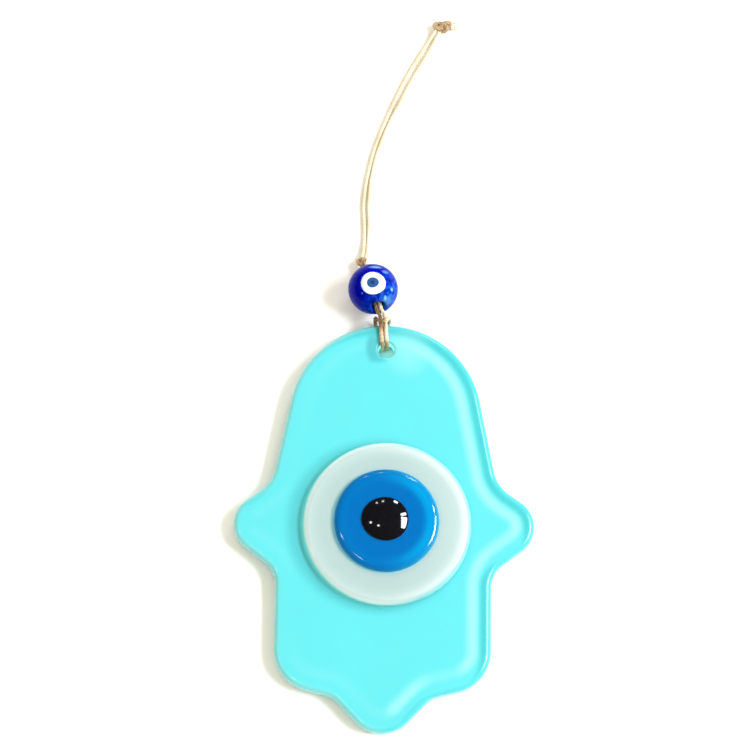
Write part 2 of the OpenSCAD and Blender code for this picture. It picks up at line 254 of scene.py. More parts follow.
class Nodes:
    """A material's node tree, with short calls for the nodes used here."""

    def __init__(self, name):
        self.material = bpy.data.materials.new(name)
        self.material.use_nodes = True
        self.tree = self.material.node_tree
        self.shader = self.tree.nodes["Principled BSDF"]

    def add(self, kind, inputs=None, **settings):
        node = self.tree.nodes.new(kind)
        for key, value in settings.items():
            setattr(node, key, value)
        for key, value in (inputs or {}).items():
            if isinstance(value, bpy.types.NodeSocket):
                self.tree.links.new(value, node.inputs[key])
            else:
                node.inputs[key].default_value = value
        return node

    def set(self, **values):
        for key, value in values.items():
            socket = self.shader.inputs[key.replace("_", " ")]
            if isinstance(value, bpy.types.NodeSocket):
                self.tree.links.new(value, socket)
            else:
                socket.default_value = value

    def place(self):
        return self.add("ShaderNodeTexCoord").outputs["Object"]

    def noise(self, scale, detail=2.0, vector=None, roughness=0.5):
        return self.add("ShaderNodeTexNoise", {
            "Vector": vector or self.place(), "Scale": scale, "Detail": detail,
            "Roughness": roughness,
        }).outputs["Fac"]

    def attribute(self, name):
        return self.add("ShaderNodeAttribute", attribute_name=name).outputs["Fac"]

    def ramp(self, factor, low, high, start=0.0, end=1.0):
        """Grey that goes from start to end while factor goes from low to high."""
        node = self.add("ShaderNodeValToRGB", {"Fac": factor})
        for element, place, grey in zip(node.color_ramp.elements, (low, high), (start, end)):
            element.position = place
            element.color = (grey, grey, grey, 1)
        return node.outputs["Color"]

    def mix(self, factor, a, b):
        node = self.add("ShaderNodeMix", data_type="RGBA")
        for socket, value in ((node.inputs[0], factor), (node.inputs[6], a), (node.inputs[7], b)):
            if isinstance(value, bpy.types.NodeSocket):
                self.tree.links.new(value, socket)
            else:
                socket.default_value = value if isinstance(value, float) else (*value, 1)
        return node.outputs[2]

    def number(self, operation, a, b):
        return self.add("ShaderNodeMath", {0: a, 1: b}, operation=operation).outputs[0]

    def tint(self, body, mask, strength, colour):
        """The body, with strength of another colour where the mask is 1."""
        return self.mix(self.number("MULTIPLY", mask, strength), body, colour)

    def scaled(self, vector, scale):
        node = self.add("ShaderNodeVectorMath", {0: vector, 1: scale}, operation="MULTIPLY")
        return node.outputs[0]

    def spot(self, centre, radii, edge):
        """1 inside an ellipsoid given in millimetres, and a soft fall to 0 at its surface."""
        moved = self.add("ShaderNodeVectorMath", {
            0: self.place(), 1: tuple(c * MM for c in centre),
        }, operation="SUBTRACT").outputs[0]
        scaled = self.scaled(moved, tuple(1 / (r * MM) for r in radii))
        away = self.add("ShaderNodeVectorMath", {0: scaled}, operation="LENGTH").outputs["Value"]
        return self.add("ShaderNodeMapRange", {
            "Value": away, "From Min": edge, "From Max": 1.0, "To Min": 1.0, "To Max": 0.0,
        }, interpolation_type="SMOOTHSTEP").outputs["Result"]

    def column(self, centre, radii, edge):
        """A spot that runs right through the glass."""
        return self.spot((*centre, PLATE_THICKNESS), (*radii, COLUMN_HEIGHT), edge)

    def bump(self, height, strength, distance):
        node = self.add("ShaderNodeBump", {
            "Height": height, "Strength": strength, "Distance": distance,
        })
        self.tree.links.new(node.outputs["Normal"], self.shader.inputs["Normal"])


# Colours of the painted glow, which stands for light that has crossed the glass.
TEAL_LIGHT = (0.16, 0.66, 0.60)
BLUE_LIGHT = (0.0, 0.5, 0.85)
WORN_ROUGHNESS = 0.75


def fused_glass(name, face, painted_shade, painted_light, glow=0.5, reach=0.004, roughness=0.16, holed=False,
                light=TEAL_LIGHT, foot=None, foot_light=None):
    """Kiln-fused glass: a soft, slightly wavy gloss, with bands of painted shade and painted light
    at its edge.

    light is the colour of the painted glow that the glass gives off where its seep attribute
    says; it stands for light that has crossed the glass. foot is a ring of painted glow round
    the foot of the disc on top: centre, radii, where its fall begins, and strength. foot_light
    is the colour there, if it is another one, and then the body there takes a painted tint too.
    """
    n = Nodes(name)
    cloudy = tuple(0.965 * c for c in face)
    body = n.mix(n.ramp(n.noise(38.0, 3.0), 0.3, 0.7), face, cloudy)
    # Painted shade and painted light in bands near the edges.
    body = n.tint(body, n.attribute("painted_shade"), 0.95, painted_shade)
    body = n.tint(body, n.attribute("painted_light"), 0.9, painted_light)
    painted_glow = n.attribute("painted_glow")
    if holed:
        # Painted light: the hole's wall, where seep gives its painted glow, takes another teal;
        # plate_tints paints shade and light on the plate round the white disc and the hole.
        body = n.mix(painted_glow, plate_tints(n, body, painted_light), (0.17, 0.56, 0.54))
    colour = (*light, 1)
    # Painted glow in a ring round the foot of the disc on top; in another colour the body there
    # takes a painted tint too.
    if foot:
        *ring, strength = foot
        near = n.column(*ring)
        painted_glow = n.number("ADD", painted_glow, n.number("MULTIPLY", near, strength))
        if foot_light:
            body = n.tint(body, near, 0.45, (0.1, 0.4, 0.42))
            colour = n.mix(near, light, foot_light)
    n.set(Base_Color=body, Emission_Color=colour, Emission_Strength=painted_glow)
    rough = n.ramp(n.noise(90.0, 4.0), 0.3, 0.75, roughness, 1.7 * roughness)
    rough = n.mix(n.attribute("rounded_mouth"), rough, (WORN_ROUGHNESS,) * 3)
    n.set(Roughness=rough, Subsurface_Weight=glow, Subsurface_Scale=reach)
    n.set(Subsurface_Radius=tuple(0.3 + 0.7 * c for c in face), IOR=1.5)
    n.bump(n.noise(60.0, 2.0), 0.6, 0.00012)
    return n.material


def plate_tints(n, body, painted_light):
    """Painted shade and painted light on the plate round the white disc, the hole and the twine.
    """
    tints = [
        # Painted shadow of the white disc, mostly on its left.
        ((-2.2, -0.3), (26.3, 25.4), 0.86, 0.6, (0.06, 0.36, 0.39)),
        # Painted light: lighter glass to the right of the hole, on the window's side.
        ((6.0, HOLE_Y - 0.6), (8.6, 9.0), 0.15, 0.5, painted_light),
        # Painted shade of the twine behind the glass, under the hole and on its left.
        ((-2.0, HOLE_Y - 2.3), (3.4, 2.2), 0.3, 0.7, (0.05, 0.38, 0.43)),
        ((-3.8, HOLE_Y + 0.6), (2.6, 5.4), 0.35, 0.85, (0.065, 0.37, 0.41)),
    ]
    for centre, radii, edge, strength, colour in tints:
        body = n.tint(body, n.column(centre, radii, edge), strength, colour)
    # Painted shade on the left side of the hole's rounded mouth.
    lip = n.column((-2.4, HOLE_Y - 0.8), (2.4, 3.2), 0.6)
    lip = n.number("MULTIPLY", lip, n.attribute("rounded_mouth"))
    return n.tint(body, lip, 0.6, (0.03, 0.24, 0.27))


def black_glass():
    n = Nodes("black_glass")
    streaks = n.noise(500.0, 3.0)
    n.set(Base_Color=n.mix(streaks, (0.0015, 0.0015, 0.002), (0.006, 0.005, 0.006)))
    n.set(Roughness=n.ramp(n.noise(300.0, 2.0), 0.3, 0.8, 0.04, 0.10), IOR=1.52)
    n.bump(n.noise(260.0, 2.0), 0.5, 0.00006)
    return n.material


def cobalt_glass():
    """Cobalt glass wound in the flame, with faint swirls, painted lighter on its side towards the
    window and darker away from it.
    """
    n = Nodes("cobalt_glass")
    swirls = n.ramp(n.noise(260.0, 3.0), 0.35, 0.7)
    painted_shade = n.mix(swirls, (0.0, 0.0005, 0.26), (0.003, 0.005, 0.38))
    mottle = n.ramp(n.noise(950.0, 3.0), 0.42, 0.6)
    light = n.mix(mottle, (0.0, 0.016, 0.28), (0.01, 0.09, 0.49))
    # Painted light: the bead turns lighter towards the window.
    body = n.mix(n.attribute("painted_lit_side"), painted_shade, light)
    # Painted light: small bright patches where light that has crossed the bead leaves it.
    patches = [
        ((0.2, HOLE_Y + 12.3, 10.8), (2.6, 2.6, 2.4), 0.4),
        ((-3.3, HOLE_Y + 22.3, 12.0), (2.6, 0.7, 1.5), 0.8),
        ((-0.6, HOLE_Y + 20.8, 11.9), (1.5, 0.8, 1.5), 0.5),
        ((1.3, HOLE_Y + 15.9, 11.5), (0.55, 0.75, 1.2), 1.0),
        ((-0.5, HOLE_Y + 13.4, 11.8), (0.6, 1.05, 1.2), 1.0),
        ((-6.9, HOLE_Y + 14.4, 12.6), (0.35, 0.35, 1.0), 0.4),
    ]
    for centre, radii, strength in patches:
        body = n.tint(body, n.spot(centre, radii, 0.3), strength, (0.14, 0.38, 0.64))
    # Painted shade: the bore, dark inside, shows through the glass as a streak under the eye.
    streak = n.spot((-3.6, HOLE_Y + 12.2, 11.4), (1.1, 2.4, 2.4), 0.3)
    n.set(Base_Color=n.tint(body, streak, 0.85, (0.0, 0.0, 0.05)))
    n.set(Roughness=0.06, IOR=1.15, Specular_IOR_Level=0.3, Transmission_Weight=0.1)
    n.bump(n.noise(240.0, 2.0), 0.5, 0.00005)
    return n.material


def enamel(name, colour, other):
    """A layer of the bead's eye, slightly streaked."""
    n = Nodes(name)
    n.set(Base_Color=n.mix(n.noise(420.0, 3.0), colour, other))
    n.set(Roughness=n.ramp(n.noise(500.0, 2.0), 0.3, 0.8, 0.06, 0.14))
    n.set(IOR=1.4, Specular_IOR_Level=0.35, Subsurface_Weight=0.2, Subsurface_Scale=0.0006)
    n.bump(n.noise(300.0, 2.0), 0.4, 0.00004)
    return n.material


def waxed_twine():
    """Twisted flax under wax: fibres run along each ply, and painted shade darkens the grooves.

    The soil attribute darkens it from plain straw through a darker brown at 1 to nearly black
    beyond it; on the hitch and on the left bead strand this is painted shade.
    """
    n = Nodes("waxed_twine")
    uv = n.add("ShaderNodeUVMap", uv_map="plies").outputs["UV"]
    fibres = n.noise(1.0, 3.0, n.scaled(uv, (260.0, 9.0, 1.0)), 0.6)
    patches = n.ramp(n.noise(140.0, 3.0), 0.35, 0.68)
    plain_straw = n.mix(patches, (0.80, 0.73, 0.56), (0.66, 0.57, 0.40))
    darkened = n.mix(patches, (0.42, 0.26, 0.11), (0.22, 0.12, 0.04))
    darkness = n.attribute("darkness")
    straw = n.mix(darkness, plain_straw, darkened)
    straw = n.mix(n.number("SUBTRACT", darkness, 1.0), straw, (0.05, 0.025, 0.01))
    dark = n.mix(0.3, straw, (0.34, 0.21, 0.08))
    fibre = n.mix(n.ramp(fibres, 0.3, 0.66), dark, straw)
    # Painted shade in the grooves between the plies.
    shaded = n.mix(0.55, straw, (0.22, 0.12, 0.04))
    n.set(Base_Color=n.mix(n.attribute("groove"), fibre, shaded))
    n.set(Roughness=n.ramp(fibres, 0.3, 0.8, 0.42, 0.66))
    n.set(Sheen_Weight=0.2, Sheen_Roughness=0.5, Subsurface_Weight=0.15, Subsurface_Scale=0.0008)
    n.bump(fibres, 0.7, 0.00006)
    return n.material


def loose_fibre():
    n = Nodes("loose_fibre")
    n.set(Base_Color=n.mix(n.noise(300.0), (0.80, 0.72, 0.52), (0.9, 0.86, 0.72)))
    n.set(Roughness=0.6, Subsurface_Weight=0.2, Subsurface_Scale=0.0005)
    return n.material


def pale_floor():
    n = Nodes("pale_floor")
    n.set(Base_Color=n.mix(n.noise(14.0, 2.0), (0.93, 0.93, 0.925), (0.95, 0.95, 0.95)))
    n.set(Roughness=0.85)
    return n.material


# ---- Glass plate ----

# Corners of the plate's right half before rounding, from the arch down: (x, y, radius).
SIDE_LEAN = math.radians(11.5)
ARCH_RADIUS = 26.8
RIGHT_CORNERS = [
    (31.1, 11.5, 10), (47.2, 0.3, 8.3), (29.6, -13, 8), (29.6, -43.3, 11.6), (13.4, -47.4, 7),
]
ARCH_APEX = (0, HALF_LENGTH - ARCH_RADIUS + ARCH_RADIUS / math.sin(SIDE_LEAN), ARCH_RADIUS)
FINGERTIP = (0, -HALF_LENGTH - 4.5, 10)
ARCH_STEPS = 72
TIP_STEPS = 32
CORNER_STEPS = [16, 32, 14, 26, 12]
FLAT_NORMAL = 0.9999
SHOULDER_REACH = 1.9
SHOULDER_DROP = 1.8
# Insets of the rings on the flat front, which carry the shades.
FRONT_RINGS = (2.3, 2.8, 3.4, 4.0, 4.6, 5.2, 5.8, 6.5, 7.2, 7.9)
# The directions that the edge's painted light and painted shade bands face.
RIM_LIGHT = Vector((1.0, 0.1)).normalized()
RIM_SHADE = Vector((0.75, 0.66)).normalized()


def corner_arc(corner, before, after, inset, steps):
    """Points on a rounded corner, with the whole outline moved inwards by inset."""
    point = Vector(corner[:2])
    to_before = (Vector(before[:2]) - point).normalized()
    to_after = (Vector(after[:2]) - point).normalized()
    bisector = (to_before + to_after).normalized()
    half_angle = math.acos(to_before.dot(to_after)) / 2
    centre = point + bisector * corner[2] / math.sin(half_angle)
    cross = -to_before.x * to_after.y + to_before.y * to_after.x
    bulges = cross < 0
    radius = corner[2] - inset if bulges else corner[2] + inset
    sweep = (math.pi - 2 * half_angle) * (-1 if bulges else 1)
    start = -bisector
    side = Vector((-start.y, start.x))
    return [
        centre + radius * (start * math.cos(a) + side * math.sin(a))
        for a in (sweep * (k / steps - 0.5) for k in range(steps + 1))
    ]


def plate_outline(inset):
    """The outline, clockwise from the arch's left end; its topmost point is ARCH_STEPS / 2."""
    left = [(-x, y, r) for x, y, r in reversed(RIGHT_CORNERS)]
    corners = [ARCH_APEX] + RIGHT_CORNERS + [FINGERTIP] + left
    steps = [ARCH_STEPS] + CORNER_STEPS + [TIP_STEPS] + CORNER_STEPS[::-1]
    points = []
    for i, corner in enumerate(corners):
        before, after = corners[i - 1], corners[(i + 1) % len(corners)]
        points += corner_arc(corner, before, after, inset, steps[i])
    return points


def strips_across(top, count, first):
    """Quads between mirror-image points of a ring, from its topmost point down."""
    faces = []
    for j in range(count // 2):
        right, right_next = (top + j) % count, (top + j + 1) % count
        left, left_next = (top - j) % count, (top - j - 1) % count
        faces.append(once_each(first + k for k in (right, right_next, left_next, left)))
    return faces


def quarter_turn(steps):
    return [math.radians(90 * k / steps) for k in range(steps + 1)]


def plate_profile():
    """The plate's edge as (inset, height) pairs, from the back face to the front face."""
    profile = [(7.0, 0.0), (3.0, 0.0)]
    for a in quarter_turn(8):
        profile.append((BACK_ROUNDING * (1 - math.sin(a)), BACK_ROUNDING * (1 - math.cos(a))))
    for a in quarter_turn(22):
        inset = SHOULDER_REACH * (1 - math.cos(a) ** 0.9)
        profile.append((inset, PLATE_THICKNESS - SHOULDER_DROP * (1 - math.sin(a) ** 0.92)))
    profile += [(inset, PLATE_THICKNESS) for inset in FRONT_RINGS]
    return profile


def rim_shades(inset, outward):
    """Painted shade and painted light on the glass, inset from an edge that faces outward.

    They follow the way the edge faces: the shade band is widest and strongest, and the light
    band brightest, towards the window, and a lighter lip runs along the side away from it.
    """
    painted_shade = smooth_step(-1.1, 0.9, outward.dot(RIM_SHADE))
    width = 1.8 + 2.4 * smooth_step(-0.3, 0.9, outward.dot(RIM_SHADE))
    band = smooth_step(-0.2, 0.5, inset) * (1 - smooth_step(0.5 * width, width, inset))
    glow = smooth_step(-0.1, 0.8, outward.dot(RIM_LIGHT))
    glow += (1 - glow) * 0.16 * abs(outward.y)
    painted_light = smooth_step(2.8, 5.0, inset) * (1 - smooth_step(5.2, 7.8, inset))
    lip = (1 - smooth_step(0.2, 2.0, inset)) * smooth_step(0.3, -0.5, outward.x)
    return painted_shade * band, max(glow * painted_light, 0.8 * lip)


def hole_cutter(material):
    """An hourglass that leaves the hole with fire-polished mouths."""
    past, steps = 1.0, 8
    wide = HOLE_RADIUS + HOLE_ROUNDING
    outline = [(wide, -past)]
    for k in range(steps + 1):
        z = HOLE_ROUNDING * k / steps
        outline.append((wide - math.sqrt(HOLE_ROUNDING ** 2 - (HOLE_ROUNDING - z) ** 2), z))
    outline += [(r, PLATE_THICKNESS - z) for r, z in reversed(outline)]
    return lathe("hole_cutter", outline, 72, material, closed_ends=True)


def lean_matrix():
    pivot = Vector((0, LEAN_LINE_Y, 0)) * MM
    return Matrix.Translation(pivot) @ Matrix.Rotation(LEAN, 4, "X") @ Matrix.Translation(-pivot)


def shade_hole(mesh):
    """Gives the hole the painted shade and painted light that the cut has left it without.

    seep is painted glow on its wall. worn marks its rounded mouths, which are rougher, and
    whose left side takes a painted shade.
    """
    painted_glow, rounded_mouth = [], []
    centre = Vector((0, HALF_LENGTH - ARCH_RADIUS))
    for i, v in enumerate(mesh.vertices):
        place = v.co.xy / MM
        reach = (place - Vector((0, HOLE_Y))).length - HOLE_RADIUS
        painted_glow.append(1.6 * (1 - smooth_step(0.01, 0.05, reach)))
        rounded_mouth.append(1 - smooth_step(0.5, 0.72, reach))
        if reach < HOLE_ROUNDING + 0.05:
            out = place - centre
            painted_shade, painted_light = rim_shades(ARCH_RADIUS - out.length, out.normalized())
            mesh.attributes["painted_shade"].data[i].value = painted_shade
            mesh.attributes["painted_light"].data[i].value = painted_light
    set_attribute(mesh, "painted_glow", painted_glow)
    set_attribute(mesh, "rounded_mouth", rounded_mouth)


def add_plate(material):
    profile = plate_profile()
    outward = [(a - b).normalized() for a, b in zip(plate_outline(0.0), plate_outline(1.0))]
    rings = [[(p.x, p.y, z) for p in plate_outline(inset)] for inset, z in profile]
    count = len(rings[0])
    verts = [v for ring in rings for v in ring]
    faces = []
    for r in range(len(rings) - 1):
        for k in range(count):
            t = (k + 1) % count
            faces.append((r * count + t, r * count + k, (r + 1) * count + k, (r + 1) * count + t))
    faces += strips_across(ARCH_STEPS // 2, count, 0)
    last = (len(rings) - 1) * count
    faces += [tuple(reversed(f)) for f in strips_across(ARCH_STEPS // 2, count, last)]
    plate = new_object("hamsa_plate_glass", verts, faces, material)
    shades = [rim_shades(inset, outward[k]) for inset, _ in profile for k in range(count)]
    set_attribute(plate.data, "painted_shade", [painted_shade for painted_shade, _ in shades])
    set_attribute(plate.data, "painted_light", [painted_light for _, painted_light in shades])
    cutter = hole_cutter(material)
    cutter.location = (0, HOLE_Y * MM, 0)
    cut = plate.modifiers.new("hole", "BOOLEAN")
    cut.object = cutter
    cut.solver = "EXACT"
    apply_modifiers(plate)
    bpy.data.objects.remove(cutter)
    shade_hole(plate.data)
    for polygon in plate.data.polygons:
        polygon.use_smooth = abs(polygon.normal.z) < FLAT_NORMAL
    tidy_normals = plate.modifiers.new("normals", "WEIGHTED_NORMAL")
    tidy_normals.weight = 100
    tidy_normals.keep_sharp = True
    apply_modifiers(plate)
    plate.data.transform(lean_matrix())
    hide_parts("hamsa_plate")
    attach(plate, "glass")


# ---- Stacked eye ----

def disc_profile(radius, thickness, reach, drop, dome):
    """Bottom centre to top centre: a flat seat, a rounded shoulder and a domed top."""
    foot = min(0.5, thickness - drop - dome)
    profile = [(0, 0), (radius - foot, 0)]
    for a in quarter_turn(6)[1:]:
        profile.append((radius - foot * (1 - math.sin(a)), foot * (1 - math.cos(a))))
    insets = [reach * (1 - math.cos(a)) for a in quarter_turn(18)[1:]]
    insets += [reach + (radius - reach) * k / 14 for k in range(1, 15)]
    for inset in insets:
        r = radius - inset
        into = max(0, 1 - inset / reach)
        z = thickness - drop * (1 - math.sqrt(1 - into * into)) - dome * (r / radius) ** 2
        profile.append((r, z))
    return profile


def add_disc(node, material, centre, height, size, shoulder, squeeze, lobes, shades):
    """size is (radius, thickness), shoulder is (reach, drop, dome), squeeze is along Y."""
    profile = disc_profile(*size, *shoulder)
    disc = lathe(f"{node}_glass", profile, 160, material, lobes)
    values = []
    for v in disc.data.vertices:
        inset = size[0] - math.hypot(v.co.x, v.co.y) / MM
        outward = Vector((v.co.x, v.co.y))
        outward = outward.normalized() if outward.length > 1e-6 else Vector((0, 0))
        values.append(shades(inset, outward))
    for word, column in zip(("painted_shade", "painted_light", "painted_glow"), zip(*values)):
        set_attribute(disc.data, word, column)
    seat = Vector((centre[0], centre[1], PLATE_THICKNESS + height)) * MM
    squeezed = Matrix.Diagonal((1, squeeze, 1, 1))
    disc.data.transform(lean_matrix() @ Matrix.Translation(seat) @ squeezed)
    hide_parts(node)
    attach(disc, "glass")


def shaded_side(inset, outward):
    """1 on the side that faces away from the window."""
    return (1 - smooth_step(0.2, 1.3, inset)) * smooth_step(0.5, -0.5, outward.x)


# Each of these gives the painted shade, painted light and painted glow at a point that far
# in from the disc's edge.

def white_shades(inset, outward):
    """Towards its edge on the window's side the white glass turns to the plate's colour, which
    is painted shade; at its very edge it does so all round, where the thin glass shows the plate.
    Painted light gives it a lighter rim, strongest towards the window, a lighter lip on the side
    away from it and a wash on the window's side, and painted glow lights the side away from it.
    """
    facing = outward.dot(RIM_LIGHT)
    thin = (1 - smooth_step(0.2, 1.5, inset)) * smooth_step(-0.6, 0.8, facing)
    rim = smooth_step(0.4, 1.9, inset) * (1 - smooth_step(2.2, 4.2, inset))
    rim *= 0.35 + 0.65 * smooth_step(-0.4, 0.9, facing)
    thin = max(thin, 1 - smooth_step(0.1, 0.7, inset))
    lip = smooth_step(0.1, 0.6, inset) * (1 - smooth_step(0.6, 2.0, inset))
    lip *= smooth_step(0.6, -0.2, outward.x)
    wash = 0.22 * smooth_step(12.0, 4.0, inset) * max(facing, 0.0)
    return thin, max(rim, lip, wash), 0.3 * shaded_side(inset, outward)


def blue_shades(inset, outward):
    """Painted light and painted shade on the side of the window: a lighter band inside a rim
    that is a little darker. A little painted glow lights the side away from the window.
    """
    facing = outward.dot(RIM_LIGHT)
    rim = (0.3 + 0.7 * smooth_step(0.4, 2.4, inset)) * (1 - smooth_step(2.3, 4.8, inset))
    edge = 1 - smooth_step(0.2, 1.6, inset)
    lit = 0.1 + 0.9 * smooth_step(-0.3, 0.9, facing)
    return edge * lit, rim * lit, 0.03 * shaded_side(inset, outward)


def plain_shades(inset, outward):
    return 0.0, 0.0, 0.0


# ---- Bead ----

# The side of the bead that faces the window, which painted light makes lighter.
BEAD_LIGHT_SIDE = Vector((0.80, -0.60, 0.0))
BEAD_STRETCH = 1.035
MOUTH_RADIUS, MOUTH_LIP = 2.3, 0.45


def bead_matrix():
    """Z runs along the bore towards the plate."""
    turn = Matrix.Rotation(BORE_YAW, 4, "Z") @ Matrix.Rotation(math.pi / 2 - BORE_RISE, 4, "X")
    return Matrix.Translation(BEAD_CENTRE * MM) @ turn @ Matrix.Diagonal((1, 1, BEAD_STRETCH, 1))


def add_bead(material):
    top = math.sqrt(BEAD_RADIUS ** 2 - (MOUTH_RADIUS + MOUTH_LIP) ** 2)
    first = math.atan2(MOUTH_RADIUS + MOUTH_LIP, top)
    steps = 40
    side = []
    for k in range(steps + 1):
        a = first + (math.pi - 2 * first) * k / steps
        side.append((BEAD_RADIUS * math.sin(a), -BEAD_RADIUS * math.cos(a)))
    mouth = [
        (MOUTH_RADIUS, top + 0.06), (MOUTH_RADIUS - 0.25, top - 0.25), (BORE_RADIUS, top - 1.3),
        (BORE_RADIUS, top - 3),
    ]
    loop = [(r, -z) for r, z in mouth[:1]] + side + mouth
    loop += [(r, -z) for r, z in reversed(mouth[1:])]
    bead = lathe("bead_glass", loop + [loop[0]], 96, material, [(0.004, 2, 0)])
    weld = bead.modifiers.new("weld", "WELD")
    weld.merge_threshold = 0.01 * MM
    apply_modifiers(bead)
    bead.data.transform(bead_matrix())
    # Painted light: 1 on the bead's side towards the window, 0 away from it.
    painted_lit_side = []
    for v in bead.data.vertices:
        out = (v.co / MM - BEAD_CENTRE) / BEAD_RADIUS
        painted_lit_side.append(smooth_step(-0.1, 0.85, out.dot(BEAD_LIGHT_SIDE)))
    set_attribute(bead.data, "painted_lit_side", painted_lit_side)
    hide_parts("bead_body")
    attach(bead, "bead")


def add_eye_cap(name, node, radius, proud, material, shift=(0, 0), lobes=()):
    """A thin lens of glass melted on to the bead. shift moves it over the bead's surface."""
    profile = []
    steps = 14
    for k in range(steps + 1):
        r = radius * (1 - (k / steps) ** 1.6)
        shell = BEAD_RADIUS + proud - (proud + 0.03) * smooth_step(0.86, 1.0, r / radius)
        profile.append((r, math.sqrt(shell ** 2 - r * r)))
    profile = [(0, profile[0][1] - 0.15)] + profile
    cap = lathe(name, profile, 64, material, lobes)
    turn = Matrix.Rotation(EYE_LEAN - math.pi / 2, 4, "X")
    across, along = (amount / BEAD_RADIUS for amount in shift)
    tip = Matrix.Rotation(across, 4, "Y") @ Matrix.Rotation(along, 4, "X")
    cap.data.transform(bead_matrix() @ turn @ tip)
    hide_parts(node)
    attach(cap, "bead")


# ---- Twine ----

PLIES = 3
PLY_PITCH = 3.4
PLY_SIDES = 8
PLY_RADIUS, PLY_OFFSET = 0.53, 0.5  # in the twine's radius
UV_PER_MM = 0.1
HAIR_RADIUS, FIBRE_RADIUS = 0.022, 0.035
HAIR_SIDES, HAIR_TAPER = 3, 0.7
HAIR_STEPS = 4
HAIR_SPACING = 0.5
# How high the thin fibres stay above the table.
HAIR_CLEARANCE, FIBRE_CLEARANCE = 0.05, 0.06
FRAYED_FIBRES = 26


def ply_lines(line, radius, turn, spread):
    """The plies' own lines round the twine's line. spread opens them towards the last point."""
    frames = carried_frames(line)
    plies = []
    for p in range(PLIES):
        ply, along = [], 0.0
        for i, (point, (_, normal, side)) in enumerate(zip(line, frames)):
            if i:
                along += (point - line[i - 1]).length
            a = turn + 2 * math.pi * (p / PLIES + along / PLY_PITCH)
            away = PLY_OFFSET * radius * (1 + spread * (i / (len(line) - 1)) ** 3)
            ply.append(point + away * (normal * math.cos(a) + side * math.sin(a)))
        plies.append(ply)
    return plies


def twine(name, line, material, spacing=0.3, radius=TWINE_RADIUS, turn=0.0, spread=0.0,
          darkness=0.05):
    """Three plies round the line. soil is how dark it is, a number or a function of place;
    where the twine lies in shade, it is painted shade.
    """
    line = even_line(line, spacing)
    verts, faces, groove, uvs = [], [], [], []
    for ply in ply_lines(line, radius, turn, spread):
        first = add_tube(verts, faces, ply, PLY_RADIUS * radius, PLY_SIDES)
        # groove is painted shade: it darkens each ply where it faces the twine's middle.
        for i, core in enumerate(line):
            for s in range(PLY_SIDES):
                away = (verts[first + i * PLY_SIDES + s] - core).length / radius
                groove.append(min(max(1.15 - 1.5 * away, 0), 1))
                uvs.append((s / PLY_SIDES, i * spacing * UV_PER_MM))
    obj = new_object(name, verts, faces, material)
    set_attribute(obj.data, "groove", groove)
    set_attribute(obj.data, "darkness", [darkness(v) if callable(darkness) else darkness for v in verts])
    layer = obj.data.uv_layers.new(name="plies")
    for loop in obj.data.loops:
        layer.data[loop.index].uv = uvs[loop.vertex_index]
    return obj


def fuzz(name, lines, material, per_mm=0.55, reach=1.3):
    """Short hairs that stand off the twine, no longer than reach."""
    verts, faces = [], []
    for line in lines:
        line = even_line(line, HAIR_SPACING)
        frames = carried_frames(line)
        for _ in range(int(line_length(line) * per_mm)):
            i = random.randrange(1, len(line) - 1)
            tangent, normal, side = frames[i]
            a = random.uniform(0, 2 * math.pi)
            out = normal * math.cos(a) + side * math.sin(a)
            along = tangent * random.choice((-1, 1))
            length = reach * random.uniform(0.35, 1)
            lift = random.uniform(0.25, 0.8)
            hair = []
            for k in range(HAIR_STEPS + 1):
                t = k / HAIR_STEPS
                bend = out * (TWINE_RADIUS * 0.9 + length * lift * t * (1 - 0.35 * t))
                point = line[i] + bend + along * length * (1 - lift * 0.5) * t
                point.z = max(point.z, HAIR_CLEARANCE)
                hair.append(point)
            add_tube(verts, faces, hair, HAIR_RADIUS, HAIR_SIDES, HAIR_TAPER)
    obj = new_object(name, verts, faces, material)
    return obj


def from_hole(route):
    return [Vector((x, y + HOLE_Y, z)) for x, y, z in route]


HITCH_SHIFT = -0.35
HITCH_TURN = math.radians(5)
# One half of the hitch, from a leg in front, through the hole and up behind to the bight.
HITCH_HALF = [
    (0.62, 8.35, 6.98), (0.64, 7.4, 6.9), (0.66, 6, 6.87), (0.66, 4.2, 6.87), (0.64, 2.2, 6.85),
    (0.62, 1.45, 6.3), (0.6, 1.22, 5), (0.6, 1.22, 2.2), (0.66, 1.5, 1), (0.85, 2.4, 0.56),
    (1.2, 4, 0.56), (1.6, 6.5, 0.56), (1.85, 8.1, 0.7), (2, 9, 1.35), (2.05, 9.35, 2.5),
    (2, 9.4, 4), (1.95, 9.25, 5.6), (1.85, 8.95, 7), (1.35, 8.4, 7.9), (0.65, 8.02, 8.2),
]
BIGHT_MIDDLE = (0, 7.9, 8.25)
# The middle of the bead's two strands from under the bight, and their yaw in degrees.
STRAND_START = [
    ((-0.985, 7.24, 6.9), 5), ((-1.12, 8.43, 7.1), 12), ((-1.3, 9.65, 7.8), 25),
    ((-1.65, 10, 8.55), 30),
]
OVER_LIP_YAW = 25
